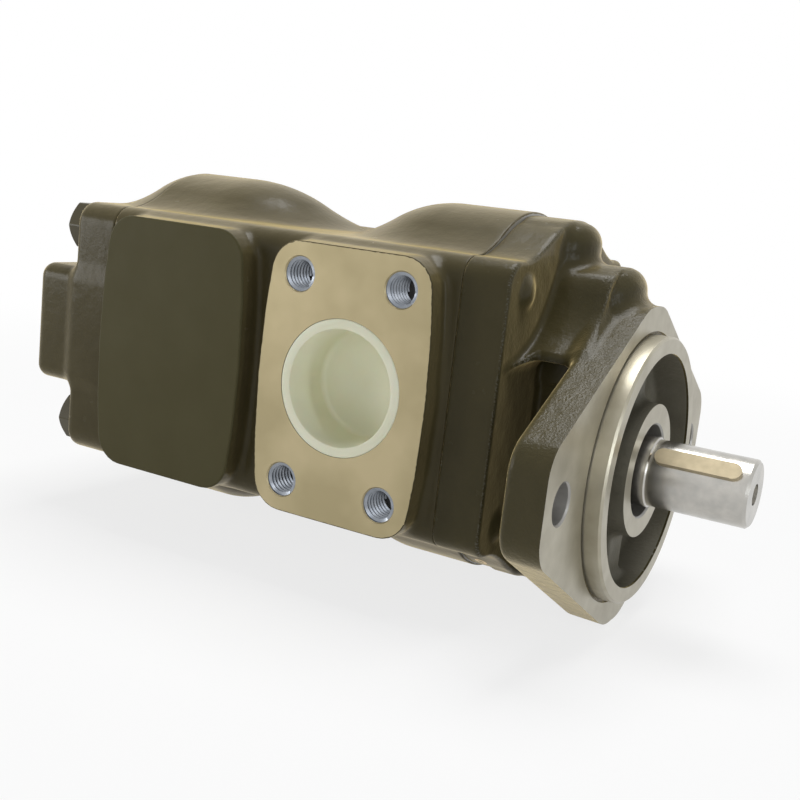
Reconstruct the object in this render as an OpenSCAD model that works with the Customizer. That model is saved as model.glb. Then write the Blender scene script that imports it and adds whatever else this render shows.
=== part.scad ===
// Tandem gear pump with a two-bolt flange, a keyed shaft and a common suction port.
// The shaft runs along +X, +Z is up, and the suction pad faces -Y.
// The origin is the centre of the pilot on the mounting face of the flange.

/* [Mounting flange] */
// Diameter of the pilot that centres the pump
pilot_d = 101.6; // [95:0.1:110]
// Height of the pilot above the mounting face
pilot_h = 6.5; // [5:0.1:10]
// Width of the groove in the mounting face, round the foot of the pilot
undercut_w = 1.2; // [0.8:0.1:2]
// Depth of that groove
undercut_depth = 0.6; // [0.3:0.1:1]
// Thickness of the flange plate
flange_t = 15; // [13:0.5:18]
// Distance between the two mounting holes
flange_hole_span = 146; // [140:0.5:155]
// Diameter of the mounting holes
flange_hole_d = 14.3; // [12:0.1:16]
// Distance from each mounting hole to the end of its ear
ear_reach = 14.3; // [12:0.1:17]
// Overall height of the flange
flange_h = 122.4; // [116:0.2:130]
// Height of the flat end of each flange ear
ear_h = 34.6; // [28:0.2:40]
// Width of the flat top and bottom of the flange
crown_w = 17.4; // [12:0.2:24]
// Diameter of the cast recess inside the pilot
recess_d = 89.3; // [84:0.1:92]
// Depth of the recess behind the mounting face
recess_depth = 9; // [5:0.5:10]
// Diameter of the boss round the shaft
boss_d = 50.3; // [47:0.1:56]
// Height of the boss above the mounting face
boss_h = 5.4; // [3:0.1:6]
// Width of the ribs from the boss to the pilot
rib_w = 16; // [10:0.5:20]

/* [Shaft] */
// Diameter of the keyed shaft end
shaft_d = 25.4; // [24:0.1:26.5]
// Reach of the shaft beyond the mounting face
shaft_reach = 45.2; // [43:0.1:52]
// Diameter of the shaft where the seal runs
seal_track_d = 26.8; // [26.6:0.1:27.6]
// Distance from the mounting face to the shaft shoulder
shoulder_x = 8.6; // [7:0.1:9.5]
// Diameter of the journals beside the gears
journal_d = 28; // [27.7:0.1:28.8]
// Width of the shaft key
key_w = 6.35; // [5:0.05:7]
// Length of the shaft key
key_l = 31.5; // [26:0.5:32]
// Distance from the shaft axis to the top of the key
key_top_r = 14.5; // [13.2:0.1:15.5]
// Distance from the shaft axis to the floor of the keyway
keyway_floor_r = 9.4; // [8.5:0.1:10]
// Direction of the key, in degrees from straight up towards -Y
key_angle = 50; // [0:5:90]
// Diameter of the centre hole in the shaft end
centre_hole_d = 8; // [5:0.5:10]

/* [Casings] */
// Width of the casings
body_w = 115; // [110:0.5:122]
// Height of the casings without their humps
body_h = 106.8; // [104:0.2:112]
// Radius of the long edges of the casings
edge_r = 9; // [5:0.5:11]
// Distance from the mounting face to the front seam
front_seam = 52.5; // [50:0.5:56]
// Length of the centre body between its two seams
centre_l = 161.8; // [158:0.2:170]
// Thickness of the front cover behind its neck
cover_t = 18.2; // [16:0.1:20]
// Thickness of the rear cover where the bolts sit
rear_cover_t = 21.2; // [20:0.2:26]
// Thickness of the rear cover across its middle
rear_mid_t = 42.4; // [38:0.2:46]
// Height of the thick middle of the rear cover
rear_mid_h = 50.5; // [46:0.5:54]
// Radius of the upper humps, round the idler gears
hump_r = 49.8; // [48:0.1:52]
// Radius of the lower humps, round the drive gears
drive_hump_r = 51.4; // [48:0.1:53]
// Step by which the front cover's upper hump lies below that of the centre body
crest_step = 1.9; // [0.2:0.1:3]
// Step by which the front cover's lower hump lies below that of the centre body
cover_step = 1; // [0.2:0.1:2]
// Radius of the fillet at the foot of each hump
hump_fillet_r = 8; // [4:0.5:10]
// Radius of the lobe that covers the idler journal
lobe_r = 33.6; // [33:0.1:36]
// Width of the lobe that covers the idler journal
lobe_w = 40; // [32:0.5:46]
// Width of the foot of the bell that carries the lobe
bell_w = 104; // [90:0.5:108]
// Radius of the scoops that clear the upper bolts
scoop_r = 44; // [42:0.5:46]
// Width of the cast neck between cover and flange
neck_w = 44; // [40:0.5:50]

/* [Gears] */
// Distance between the drive and the idler axis
gear_span = 40.2; // [39.8:0.1:41]
// Number of teeth on every gear
gear_teeth = 12; // [12:1:14]
// Pressure angle of the teeth
pressure_angle = 25; // [24:0.5:26]
// Width of every gear
gear_w = 38; // [34:0.5:42]
// Thickness of the thrust plates beside the gears
plate_t = 5; // [4:0.1:6]

/* [Bearings and seals] */
// Wall of the bearing bushes
bush_wall = 3; // [2:0.1:4]
// Length of the bushes in the front cover
bush_l = 28; // [22:0.5:29]
// Length of the bushes in the centre body
centre_bush_l = 22; // [18:0.5:25]
// Length of the bushes in the rear cover
rear_bush_l = 16; // [12:0.5:17]
// Diameter of the bore that holds the shaft seal
seal_bore_d = 35.4; // [34.5:0.1:38]
// Width of the shaft seal
seal_w = 8; // [6:0.5:9]
// Distance from the mounting face back to the front of the shaft seal
seal_depth = 2.5; // [1:0.1:4]
// Width of the square seal cord between the casings
cord_w = 2.6; // [2:0.1:3]

/* [Ports] */
// Diameter of the suction port
inlet_d = 50.8; // [46:0.1:54]
// Spacing of the suction flange holes along the shaft
inlet_pitch_x = 42.9; // [41:0.1:45]
// Spacing of the suction flange holes across the shaft
inlet_pitch_z = 77.8; // [76:0.1:80]
// Diameter of the tapped holes of the suction pad
inlet_tap_d = 12.7; // [11:0.1:13]
// Distance from the front seam to the centre of the suction pad
inlet_offset = 40; // [38:0.5:44]
// Height of the port pads above the sides of the body
pad_t = 9; // [7:0.1:12]
// Width of the suction pad at its middle
pad_w = 72.4; // [71:0.2:78]
// Width of the suction pad at its ends
pad_end_w = 65.5; // [64:0.2:70]
// Height of the suction pad
pad_h = 102; // [98:0.5:104]
// Diameter of the outlet ports
outlet_d = 25.4; // [22:0.1:28]
// Spacing of the outlet flange holes along the shaft
outlet_pitch_x = 26.2; // [25:0.1:28]
// Spacing of the outlet flange holes across the shaft
outlet_pitch_z = 52.4; // [51:0.1:54]
// Diameter of the tapped holes of the outlet pads
outlet_tap_d = 9.5; // [8:0.1:10]
// Depth of all tapped holes
tap_depth = 16; // [12:0.5:17]

/* [Fasteners and plugs] */
// Diameter of the through bolts
bolt_d = 12; // [10:0.5:13]
// Distance of the bolts from the middle plane
bolt_y = 42; // [40:0.5:43]
// Distance of the bolts above and below the middle of the casings
bolt_z = 42.5; // [41:0.1:45]
// Width across the flats of the bolt heads
bolt_af = 19; // [17:0.1:20]
// Height of the bolt heads
bolt_head_h = 8; // [6:0.5:9]
// Thickness of the washers under the bolt heads
washer_t = 2.6; // [2:0.1:3.5]
// Depth of the bolt thread in the front cover
thread_l = 13; // [10:0.5:13.5]
// Depth of the cup of the suction plug
plug_depth = 24; // [16:0.5:28]
// Wall of the plastic plugs
plug_wall = 3.6; // [2.5:0.1:4.5]
// Diameter of the brass bleed plug
bleed_d = 5; // [4:0.1:6]

/* [Hidden] */
$fn = 64;
eps = 0.01;
// Running and sliding clearances, each for one side
running_gap = 0.05;
tip_gap = 0.1;
slide_gap = 0.15;
face_gap = 0.1;
tooth_gap = 0.06;
bolt_gap = 0.5;
lip_gap = 0.02;
// Heights of the casings
mid_z = gear_span / 2;
top_z = mid_z + body_h / 2;
pad_y = body_w / 2 + pad_t;
flange_w = flange_hole_span + 2 * ear_reach;
// Corner radii of the flange, and chamfer on the pilot
ear_corner_r = 14;
crown_corner_r = 24;
pilot_chamfer = 0.8;
// Round edge where the long edges of the rear cover's thick middle meet
rear_mid_r = 6;
// Corner radii of the suction and outlet pads
pad_corner_r = 12;
// Stations along the shaft, from front to rear
flange_back = -flange_t;
seam_f = -front_seam;
cover_face = seam_f + cover_t;
seam_r = seam_f - centre_l;
rear_face = seam_r - rear_cover_t;
rear_end = seam_r - rear_mid_t;
cell_l = gear_w + 2 * plate_t;
cell_f = seam_f - cell_l;
cell_r = seam_r + cell_l;
gear_f = seam_f - plate_t - gear_w;
gear_r = seam_r + plate_t;
inlet_x = seam_f - inlet_offset;
blank_x = seam_r + inlet_offset;
outlet_xs = [gear_f + gear_w / 2, gear_r + gear_w / 2];
web_mid = (seam_f + seam_r) / 2;
// Lengths of the humps before they fall, measured from the seams
front_crest_l = 31.5;
inner_crest_l = 26.3;
outer_crest_l = 3.3;
front_keel_l = 27.5;
inner_keel_l = 38.3;
// Where each hump starts to fall, and the radius of its fall
front_fall = [seam_f - front_crest_l, 44];
inner_fall = [seam_r + inner_crest_l, 76];
outer_fall = [seam_r + outer_crest_l, 24];
front_drive_fall = [seam_f - front_keel_l, 32];
inner_drive_fall = [seam_r + inner_keel_l, 25];
hump_sink = 2;
// Front ends of the cover's two lobes
hump_setback = 10.8;
hump_nose = flange_back - hump_setback;
hump_nose_r = 18.5;
lobe_nose = -5.9;
lobe_nose_r = 23;
nose_edge_r = 8;
nose_lift = 0.2;
// Domes over the blind bolt holes
dome_r = 10;
dome_rise = 2;
// Centres of the scoops beyond the sides and the top of the casings, and floor of the bell
scoop_out = 3;
scoop_up = 6.5;
scoop_y = body_w / 2 + scoop_out;
scoop_z = top_z + scoop_up;
bell_floor = gear_span - 4;
bell_rise = 0.8 * lobe_r;
// Gears, journals and bushes
gear_m = gear_span / gear_teeth;
tip_r = gear_span / 2 + gear_m - tip_gap;
root_r = gear_span / 2 - 1.2 * gear_m;
cell_r_mm = gear_span / 2 + gear_m;
bush_id = journal_d + 2 * running_gap;
bush_od = bush_id + 2 * bush_wall;
journal_f = seam_f + bush_l - 1;
journal_cf = cell_f - centre_bush_l + 1;
journal_cr = cell_r + centre_bush_l - 1;
journal_r = seam_r - rear_bush_l + 1;
centre_hole_l = 14;
// Coupling between the two drive gears
spline_n = 10;
spline_r = 9.5;
spline_depth = 1.8;
coupling_d = journal_d - 2;
coupling_l = 2 * (web_mid - journal_cr) - 2;
coupling_bore_d = coupling_d + 4;
// Shaft seal
seal_front = -seal_depth;
seal_back = seal_front - seal_w;
seal_wall = 1;
ring_t = 1.2;
ring_depth = 1.6;
// Seals round the gear cells
cord_r = cell_r_mm + 5;
cord_depth = 2;
plate_cord_w = 1.8;
plate_cord_depth = 1.4;
// Dowels
dowel_d = 6;
dowel_l = 14;
dowel_y = 46;
dowel_z = 30;
// Passages inside the centre body
chamber_depth = 27;
passage_end = cell_r_mm / 3;
front_feed_d = 30;
rear_feed_d = 26;
branch_d = 20;
branch_depth = 18;
feed_lead = 9;
// Plugs
outlet_plug_depth = 14;
outlet_pad_w = 46;
outlet_pad_h = 76;
bleed_angle = 59;
bleed_x = seam_f + 6.5;
bleed_l = 9;

// Unit vector along v
function unit(v) = v / norm(v);

// Points of an arc of radius r that rounds the corner b between a and c
function corner_arc(a, b, c, r, n) =
    let (u = unit(a - b), v = unit(c - b), half = acos(u * v) / 2)
    let (centre = b + unit(u + v) * r / sin(half), reach = r / tan(half))
    let (p = b + u * reach - centre, q = b + v * reach - centre)
    let (a0 = atan2(p.y, p.x), turn = (atan2(q.y, q.x) - a0 + 540) % 360 - 180)
    [for (i = [0:n]) centre + r * [cos(a0 + turn * i / n), sin(a0 + turn * i / n)]];

// A closed outline with every corner rounded by its own radius
function rounded(pts, radii, n = 6) = let (k = len(pts))
    [for (i = [0:k - 1]) each corner_arc(pts[(i + k - 1) % k], pts[i], pts[(i + 1) % k], radii[i], n)];

// Extrudes a Y-Z outline from x0 to x1
module along_x(x0, x1) {
    translate([x0, 0, 0]) rotate([90, 0, 90]) linear_extrude(x1 - x0) children();
}

// Extrudes an X-Z outline from y0 to y1
module along_y(y0, y1) {
    translate([0, y1, 0]) rotate([90, 0, 0]) linear_extrude(y1 - y0) children();
}

// Turns a profile drawn as [radius, x] about the X axis
module turned_x() {
    rotate([0, 90, 0]) rotate_extrude() children();
}

// Round bar or hole along X
module rod_x(x0, x1, d, y = 0, z = 0) {
    translate([x0, y, z]) rotate([0, 90, 0]) cylinder(d = d, h = x1 - x0);
}

// Round bar or hole along Y
module rod_y(y0, y1, d, x, z) {
    translate([x, y0, z]) rotate([-90, 0, 0]) cylinder(d = d, h = y1 - y0);
}

// Tube along X
module tube_x(x0, x1, od, id, z = 0) {
    difference() {
        rod_x(x0, x1, od, 0, z);
        rod_x(x0 - 1, x1 + 1, id, 0, z);
    }
}

// Repeats a shape at the drive and the idler axis
module both_axes() {
    for (z = [0, gear_span]) translate([0, 0, z]) children();
}

// Repeats a shape at the four bolt positions
module at_bolts() {
    for (sy = [-1, 1], sz = [-1, 1]) translate([0, sy * bolt_y, mid_z + sz * bolt_z]) children();
}

// Box outline with round corners, centred at the height z
module round_box_2d(w, h, r, z) {
    translate([0, z]) {
        square([w - 2 * r, h], center = true);
        square([w, h - 2 * r], center = true);
        for (sy = [-1, 1], sz = [-1, 1]) translate([sy * (w / 2 - r), sz * (h / 2 - r)]) circle(r);
    }
}

// Cross-section of the hump over the idler, with fillets onto the top of the casing
module hump_2d(r) {
    rise = top_z - gear_span + hump_fillet_r;
    foot_y = sqrt(pow(r + hump_fillet_r, 2) - rise * rise);
    touch = r / (r + hump_fillet_r) * [foot_y, rise];
    translate([0, gear_span]) {
        circle(r);
        for (s = [-1, 1]) difference() {
            polygon([[0, 0], [s * foot_y, 0], [s * foot_y, top_z - gear_span], [s * touch.x, touch.y]]);
            translate([s * foot_y, rise]) circle(hump_fillet_r);
        }
    }
}

// Cross-section of the hump under the drive axis
module low_hump_2d(r) {
    translate([0, 2 * mid_z]) mirror([0, 1]) hump_2d(r);
}

// Cross-section of the front cover, one step smaller than the centre body
module cover_2d() {
    round_box_2d(body_w, body_h, edge_r, mid_z);
    hump_2d(hump_r - crest_step);
    low_hump_2d(drive_hump_r - cover_step);
}

// Stretch of a falling hump from x0 to x1; fall holds where it starts and its radius
module falling_hump(r, x0, x1, fall) {
    turned_x() intersection() {
        translate([r - fall[1], fall[0]]) circle(fall[1], $fn = 128);
        translate([r / 2, x0]) square([r, x1 - x0]);
    }
}

// Length over which a hump of radius r sinks below the surface of the casing
function run(r, fall) = let (drop = r - top_z + gear_span + hump_sink)
    sqrt(pow(fall[1], 2) - pow(fall[1] - drop, 2));

// Both humps at one end: up over the idler axis, low under the drive axis
module fallen_pair(up, fall_up, low, fall_low) {
    intersection() {
        translate([0, 0, gear_span]) falling_hump(hump_r, up[0], up[1], fall_up);
        translate([rear_end, -body_w, mid_z]) cube([front_seam - rear_end, 2 * body_w, body_w]);
    }
    intersection() {
        falling_hump(drive_hump_r, low[0], low[1], fall_low);
        translate([rear_end, -body_w, mid_z - body_w]) cube([front_seam - rear_end, 2 * body_w, body_w]);
    }
}

// Outline of the two overlapping gear bores
module cell_2d(r) {
    circle(r);
    translate([0, gear_span]) circle(r);
}

// Racetrack outline round both axes
module racetrack_2d(r) {
    circle(r);
    translate([0, gear_span]) circle(r);
    translate([-r, 0]) square([2 * r, gear_span]);
}

// Outline of the suction pad and of the blank pad, with barrel-shaped sides
module pad_2d() {
    w = [pad_end_w / 2, pad_w / 2 - (pad_w - pad_end_w) / 8, pad_w / 2];
    h = pad_h / 2;
    right = [[w[0], -h], [w[1], -h / 2], [w[2], 0], [w[1], h / 2], [w[0], h]];
    left = [for (i = [4:-1:0]) [-right[i].x, right[i].y]];
    corner = [pad_corner_r, 1.25 * pad_w, 1.6 * pad_w, 1.25 * pad_w, pad_corner_r];
    polygon(rounded(concat(right, left), concat(corner, corner)));
}

// Four tapped holes of a port flange, from the pad face inwards
module port_taps(x, side, pitch_x, pitch_z, d) {
    y0 = side > 0 ? pad_y - tap_depth : -pad_y - 1;
    for (sx = [-1, 1], sz = [-1, 1])
        rod_y(y0, y0 + tap_depth + 1, d, x + sx * pitch_x / 2, mid_z + sz * pitch_z / 2);
}

// Outline of the two-bolt flange
module flange_2d() {
    y = flange_w / 2;
    z = flange_h / 2;
    quarter = [[y, -ear_h / 2], [y, ear_h / 2], [crown_w / 2, z], [-crown_w / 2, z]];
    pts = concat(quarter, [for (p = quarter) -p]);
    corner = [ear_corner_r, ear_corner_r, crown_corner_r, crown_corner_r];
    polygon(rounded(pts, concat(corner, corner)));
}

// Side view of a lobe, from the cover face to the nose at x, with a rounded top edge
module lobe_side(x, z) {
    along_y(-body_w / 2, body_w / 2) {
        translate([cover_face - 1, mid_z]) square([x - cover_face + 1 - nose_edge_r, z - mid_z]);
        translate([cover_face - 1, mid_z]) square([x - cover_face + 1, z - mid_z - nose_edge_r]);
        translate([x - nose_edge_r, z - nose_edge_r]) circle(nose_edge_r);
    }
}

// Cross-section of the bell, capped by the outline of the lobe
module bell_2d() intersection() {
    translate([-bell_w / 2, bell_floor]) square([bell_w, body_h]);
    union() {
        translate([0, gear_span]) circle(lobe_r);
        translate([-bell_w / 2, bell_floor]) square([bell_w, bell_rise]);
    }
}

// Lobe over the end of the idler, up to the height z
module lobe(z) intersection() {
    along_x(cover_face - eps, lobe_nose) intersection() {
        translate([0, gear_span]) circle(lobe_r);
        translate([-lobe_w / 2, mid_z]) square([lobe_w, body_h]);
    }
    lobe_side(lobe_nose, z + nose_lift);
    translate([lobe_nose - lobe_nose_r, 0, mid_z]) cylinder(r = lobe_nose_r, h = body_h);
}

// Neck of the front cover, between the cover block and the flange
module cover_neck() {
    crest_r = hump_r - crest_step;
    lobe_top = gear_span + lobe_r;
    // Bell and lobe over the idler, scooped out beside the upper bolts
    difference() {
        union() {
            along_x(cover_face - eps, flange_back) bell_2d();
            lobe(lobe_top);
        }
        for (s = [-1, 1]) rod_x(cover_face - 1, flange_back, 2 * scoop_r, s * scoop_y, scoop_z);
    }
    // Stub of the upper hump, with a round nose
    intersection() {
        along_x(cover_face - eps, hump_nose) translate([0, gear_span]) circle(crest_r);
        lobe_side(hump_nose, gear_span + crest_r + nose_lift);
        translate([hump_nose - hump_nose_r, 0, lobe_top - 1]) cylinder(r = hump_nose_r, h = body_h);
    }
    // Neck round the shaft
    along_x(cover_face - eps, flange_back + eps) intersection() {
        union() {
            circle(drive_hump_r - cover_step);
            translate([-neck_w / 2, 0]) square([neck_w, gear_span]);
        }
        translate([-neck_w / 2, -body_h]) square([neck_w, body_h + gear_span]);
    }
}

module front_cover() color("#5b5236") difference() {
    union() {
        along_x(seam_f, cover_face) cover_2d();
        cover_neck();
        difference() {
            along_x(-flange_t, 0) flange_2d();
            rod_x(-undercut_depth, 1, pilot_d + 2 * undercut_w);
        }
        turned_x() polygon([[0, -flange_t / 2], [pilot_d / 2, -flange_t / 2],
            [pilot_d / 2, pilot_h - pilot_chamfer], [pilot_d / 2 - pilot_chamfer, pilot_h], [0, pilot_h]]);
        // Round ends of the blind bolt holes
        at_bolts() turned_x() intersection() {
            translate([0, cover_face + dome_rise - dome_r]) circle(dome_r);
            translate([0, cover_face - 1]) square(2 * dome_r);
        }
    }
    // Recess inside the pilot, round the boss and its ribs
    difference() {
        rod_x(-recess_depth, pilot_h + 1, recess_d);
        rod_x(-recess_depth - 1, boss_h, boss_d);
        translate([-recess_depth - 1, -rib_w / 2, -recess_d])
            cube([recess_depth - 1.5, rib_w, 2 * recess_d]);
    }
    rod_x(boss_h, pilot_h + 1, boss_d);
    // Seal bore, groove of the retaining ring, and shaft bore
    rod_x(seal_back, boss_h + 1, seal_bore_d);
    rod_x(seal_front, seal_front + ring_t + 2 * face_gap, seal_bore_d + 2 * ring_depth);
    rod_x(seam_f - 1, 0, journal_d + 1);
    // Bores of the bushes
    both_axes() rod_x(seam_f - 1, seam_f + bush_l, bush_od);
    for (s = [-1, 1]) rod_x(-flange_t - 1, 1, flange_hole_d, s * flange_hole_span / 2);
    at_bolts() rod_x(seam_f - 1, seam_f + thread_l, bolt_d);
    dowel_holes(seam_f);
    bleed_hole();
}

// Holes for the two dowels across the seam at x
module dowel_holes(x) {
    for (s = [-1, 1]) rod_x(x - dowel_l / 2, x + dowel_l / 2, dowel_d, s * dowel_y, mid_z - s * dowel_z);
}

// Racetrack groove for a square seal cord, from x0 to x1
module cord_ring(x0, x1, r, w) {
    along_x(x0, x1) difference() {
        racetrack_2d(r + w / 2);
        racetrack_2d(r - w / 2);
    }
}

// Hole of the bleed plug in the lower hump of the front cover
module bleed_hole() {
    translate([bleed_x, 0, 0]) rotate([bleed_angle - 90, 0, 0]) translate([0, 0, -drive_hump_r]) {
        cylinder(d = bleed_d, h = bleed_l + cover_step);
        cylinder(d = bleed_d + 3, h = cover_step + 0.8);
    }
}

module centre_body() color("#5f5638") difference() {
    union() {
        along_x(seam_r, seam_f) round_box_2d(body_w, body_h, edge_r, mid_z);
        along_x(front_fall[0], seam_f) hump_2d(hump_r);
        along_x(seam_r, inner_fall[0]) hump_2d(hump_r);
        along_x(front_drive_fall[0], seam_f) low_hump_2d(drive_hump_r);
        along_x(seam_r, inner_drive_fall[0]) low_hump_2d(drive_hump_r);
        fallen_pair([front_fall[0] - run(hump_r, front_fall), front_fall[0]], front_fall,
            [front_drive_fall[0] - run(drive_hump_r, front_drive_fall), front_drive_fall[0]],
            front_drive_fall);
        fallen_pair([inner_fall[0], inner_fall[0] + run(hump_r, inner_fall)], inner_fall,
            [inner_drive_fall[0], inner_drive_fall[0] + run(drive_hump_r, inner_drive_fall)],
            inner_drive_fall);
        along_y(-pad_y, 0) translate([inlet_x, mid_z]) pad_2d();
        along_y(-pad_y, 0) translate([blank_x, mid_z]) pad_2d();
        for (x = outlet_xs) along_y(0, pad_y)
            translate([x, 0]) round_box_2d(outlet_pad_w, outlet_pad_h, pad_corner_r, mid_z);
    }
    // Gear cells and bush bores
    along_x(cell_f, seam_f + 1) cell_2d(cell_r_mm);
    along_x(seam_r - 1, cell_r) cell_2d(cell_r_mm);
    both_axes() rod_x(cell_f - centre_bush_l, cell_f + 1, bush_od);
    both_axes() rod_x(cell_r - 1, cell_r + centre_bush_l, bush_od);
    rod_x(cell_r, cell_f, coupling_bore_d);
    // Suction chamber, its branch to the rear gears, and the outlets
    rod_y(-pad_y - 1, chamber_depth - body_w / 2, inlet_d, inlet_x, mid_z);
    rod_y(-body_w / 2, -passage_end, front_feed_d, outlet_xs[0], mid_z);
    rod_x(outlet_xs[1], inlet_x, branch_d, branch_depth - body_w / 2, mid_z);
    rod_y(feed_lead - body_w / 2, -passage_end, rear_feed_d, outlet_xs[1], mid_z);
    for (x = outlet_xs) rod_y(passage_end, pad_y + 1, outlet_d, x, mid_z);
    port_taps(inlet_x, -1, inlet_pitch_x, inlet_pitch_z, inlet_tap_d);
    for (x = outlet_xs) port_taps(x, 1, outlet_pitch_x, outlet_pitch_z, outlet_tap_d);
    at_bolts() rod_x(seam_r - 1, seam_f + 1, bolt_d + 2 * bolt_gap);
    cord_ring(seam_f - cord_depth, seam_f + 1, cord_r, cord_w + 2 * face_gap);
    cord_ring(seam_r - 1, seam_r + cord_depth, cord_r, cord_w + 2 * face_gap);
    dowel_holes(seam_f);
    dowel_holes(seam_r);
}

module rear_cover() color("#5f5638") difference() {
    union() {
        along_x(rear_face, seam_r) round_box_2d(body_w, body_h, edge_r, mid_z);
        fallen_pair([rear_face, seam_r], outer_fall, [rear_face, seam_r], outer_fall);
        along_x(rear_end, seam_r) round_box_2d(body_w, rear_mid_h, rear_mid_r, mid_z);
    }
    both_axes() rod_x(seam_r - rear_bush_l, seam_r + 1, bush_od);
    at_bolts() rod_x(rear_face - 1, seam_r + 1, bolt_d + 2 * bolt_gap);
    dowel_holes(seam_r);
}

module through_bolts() color("#4f4832") at_bolts() {
    head_x = rear_face - washer_t;
    corner_r = bolt_af / 2 + 1.3;
    rod_x(head_x - 1, seam_f + thread_l, bolt_d);
    translate([head_x - bolt_head_h, 0, 0]) rotate([0, 90, 0]) intersection() {
        rotate([0, 0, 30]) cylinder(d = bolt_af / cos(30), h = bolt_head_h, $fn = 6);
        rotate_extrude() polygon([[0, 0], [bolt_af / 2 - 0.5, 0], [corner_r, 1.2],
            [corner_r, bolt_head_h], [0, bolt_head_h]]);
    }
}

module bolt_washers() color("#4f4832")
    at_bolts() tube_x(rear_face - washer_t, rear_face, bolt_af + 2, bolt_d + 2 * bolt_gap);

module dowel_pins() color("silver") for (x = [seam_f, seam_r], s = [-1, 1])
    rod_x(x - dowel_l / 2 + 0.5, x + dowel_l / 2 - 0.5, dowel_d - 0.02, s * dowel_y, mid_z - s * dowel_z);

module front_section_seal() color("#202020") cord_ring(seam_f - cord_depth, seam_f, cord_r, cord_w);

module rear_section_seal() color("#202020") cord_ring(seam_r, seam_r + cord_depth, cord_r, cord_w);

// Point of an involute of the base circle rb, at radius r and turned by a
function involute(rb, r, a) = let (t = sqrt(pow(r / rb, 2) - 1) * 180 / PI)
    r * [cos(a + t - atan(t * PI / 180)), sin(a + t - atan(t * PI / 180))];

// Outline of a gear with a tooth that points up, or a gap where phase is half a pitch
module gear_2d(phase = 0) {
    rp = gear_span / 2;
    rb = rp * cos(pressure_angle);
    inv = tan(pressure_angle) * 180 / PI - pressure_angle;
    half = 90 / gear_teeth - asin(tooth_gap / rp / 2) + inv;
    steps = 5;
    flank = concat([root_r * [cos(-half), sin(-half)]],
        [for (i = [0:steps]) involute(rb, rb + (tip_r - rb) * i / steps, -half)]);
    tooth = concat(flank, [for (i = [len(flank) - 1:-1:0]) [flank[i].x, -flank[i].y]]);
    polygon([for (k = [0:gear_teeth - 1], p = tooth) let (a = 90 + phase + k * 360 / gear_teeth)
        [p.x * cos(a) - p.y * sin(a), p.x * sin(a) + p.y * cos(a)]]);
}

// Outline of the splined stubs, or of the spline hole where gap is a clearance
module spline_2d(gap = 0) {
    circle(spline_r - spline_depth + gap);
    for (k = [0:spline_n - 1]) rotate(k * 360 / spline_n)
        translate([0, -1.5 - gap]) square([spline_r + gap, 3 + 2 * gap]);
}

// Keyway or key in the shaft, seen from its end, from radius r0 to r1
module key_shape(x0, l, w, r0, r1) {
    rotate([key_angle, 0, 0]) translate([x0, 0, r0]) linear_extrude(r1 - r0) {
        translate([w / 2, 0]) circle(d = w);
        translate([l - w / 2, 0]) circle(d = w);
        translate([w / 2, -w / 2]) square([l - w, w]);
    }
}

key_x = (shoulder_x + shaft_reach - key_l) / 2 - 1;

module drive_shaft() color("#b9b4a6") difference() {
    union() {
        along_x(gear_f, gear_f + gear_w) gear_2d();
        turned_x() polygon([[0, journal_cf], [journal_d / 2 - 0.5, journal_cf],
            [journal_d / 2, journal_cf + 0.5], [journal_d / 2, seam_f + bush_l + 1],
            [seal_track_d / 2, seam_f + bush_l + 2], [seal_track_d / 2, shoulder_x - 0.5],
            [seal_track_d / 2 - 0.5, shoulder_x], [shaft_d / 2, shoulder_x],
            [shaft_d / 2, shaft_reach - 1], [shaft_d / 2 - 1, shaft_reach], [0, shaft_reach]]);
        along_x(web_mid + 1, journal_cf + eps) spline_2d();
    }
    key_shape(key_x, key_l, key_w, keyway_floor_r, shaft_d);
    // Centre hole with a countersink
    rod_x(shaft_reach - centre_hole_l, shaft_reach + 1, centre_hole_d - 2);
    turned_x() polygon([[0, shaft_reach - 3], [centre_hole_d / 2 - 1, shaft_reach - 3],
        [centre_hole_d / 2, shaft_reach - 1.4], [centre_hole_d / 2, shaft_reach + 1], [0, shaft_reach + 1]]);
}

module shaft_key() color("#cfc6ae")
    key_shape(key_x + 0.02, key_l - 0.04, key_w - 0.04, keyway_floor_r, key_top_r);

module drive_coupling() color("#8d8d88") difference() {
    rod_x(web_mid - coupling_l / 2, web_mid + coupling_l / 2, coupling_d);
    along_x(web_mid - coupling_l, web_mid + coupling_l) spline_2d(running_gap);
}

module rear_drive_gear() color("#a9a9a4") {
    along_x(gear_r, gear_r + gear_w) gear_2d();
    rod_x(journal_r, gear_r + eps, journal_d);
    rod_x(gear_r + gear_w - eps, journal_cr, journal_d);
    along_x(journal_cr - eps, web_mid - 1) spline_2d();
}

// Idler with a gear from x to x + gear_w and journals from x0 to x1
module idler(x, x0, x1) {
    translate([0, 0, gear_span]) {
        along_x(x, x + gear_w) gear_2d(180 / gear_teeth);
        rod_x(x0, x + eps, journal_d);
        rod_x(x + gear_w - eps, x1, journal_d);
    }
}

module front_idler_gear() color("#a9a9a4") idler(gear_f, journal_cf, journal_f);

module rear_idler_gear() color("#a9a9a4") idler(gear_r, journal_r, journal_cr);

// A pair of bushes, one on each axis
module bush_pair(x, l) {
    for (z = [0, gear_span]) tube_x(x, x + l, bush_od, bush_id, z);
}

module front_cover_bushes() color("#b08d57") bush_pair(seam_f, bush_l);

module centre_front_bushes() color("#b08d57") bush_pair(cell_f - centre_bush_l, centre_bush_l);

module centre_rear_bushes() color("#b08d57") bush_pair(cell_r, centre_bush_l);

module rear_cover_bushes() color("#b08d57") bush_pair(seam_r - rear_bush_l, rear_bush_l);

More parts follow.
